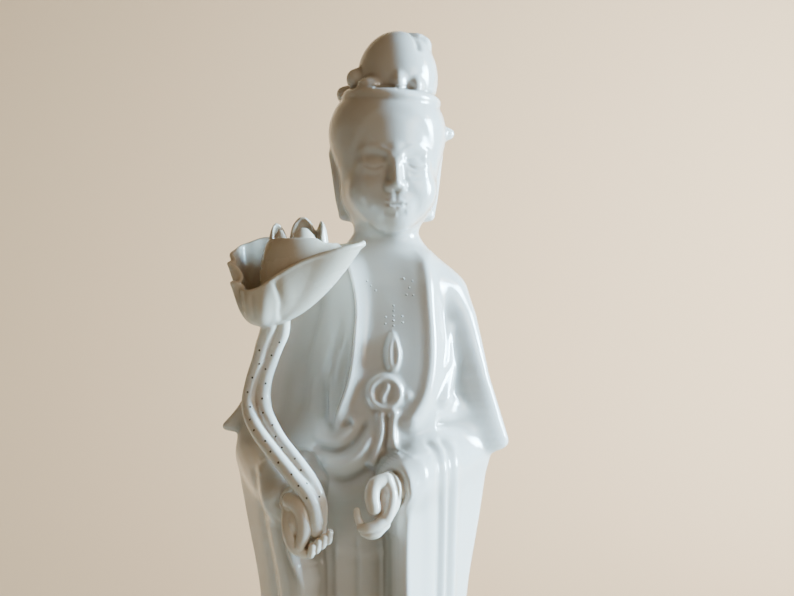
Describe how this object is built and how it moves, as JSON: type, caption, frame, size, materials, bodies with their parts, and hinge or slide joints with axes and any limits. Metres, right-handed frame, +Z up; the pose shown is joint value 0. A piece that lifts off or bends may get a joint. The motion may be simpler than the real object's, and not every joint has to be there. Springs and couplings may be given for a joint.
{
  "type": "guanyin figure",
  "caption": "Standing robed figure in pale glazed porcelain on a low lotus base, with plug-in hands at the sleeves and a separate lotus spray held before the shoulder.",
  "frame": {"origin": "middle of the flat underside of the base", "axes": "+Z up along the figure's height, the figure faces -Y, and +X is to the right for someone who faces it"},
  "size_m": [0.1327, 0.1039, 0.44],
  "materials": {
    "body_glaze": "gloss",
    "hand_glaze": "gloss",
    "spray_glaze": "satin"
  },
  "bodies": {
    "root": {"figure": "body_glaze", "open_hand": "hand_glaze", "holding_hand": "hand_glaze", "lotus_spray": "spray_glaze"}
  },
  "joints": []
}
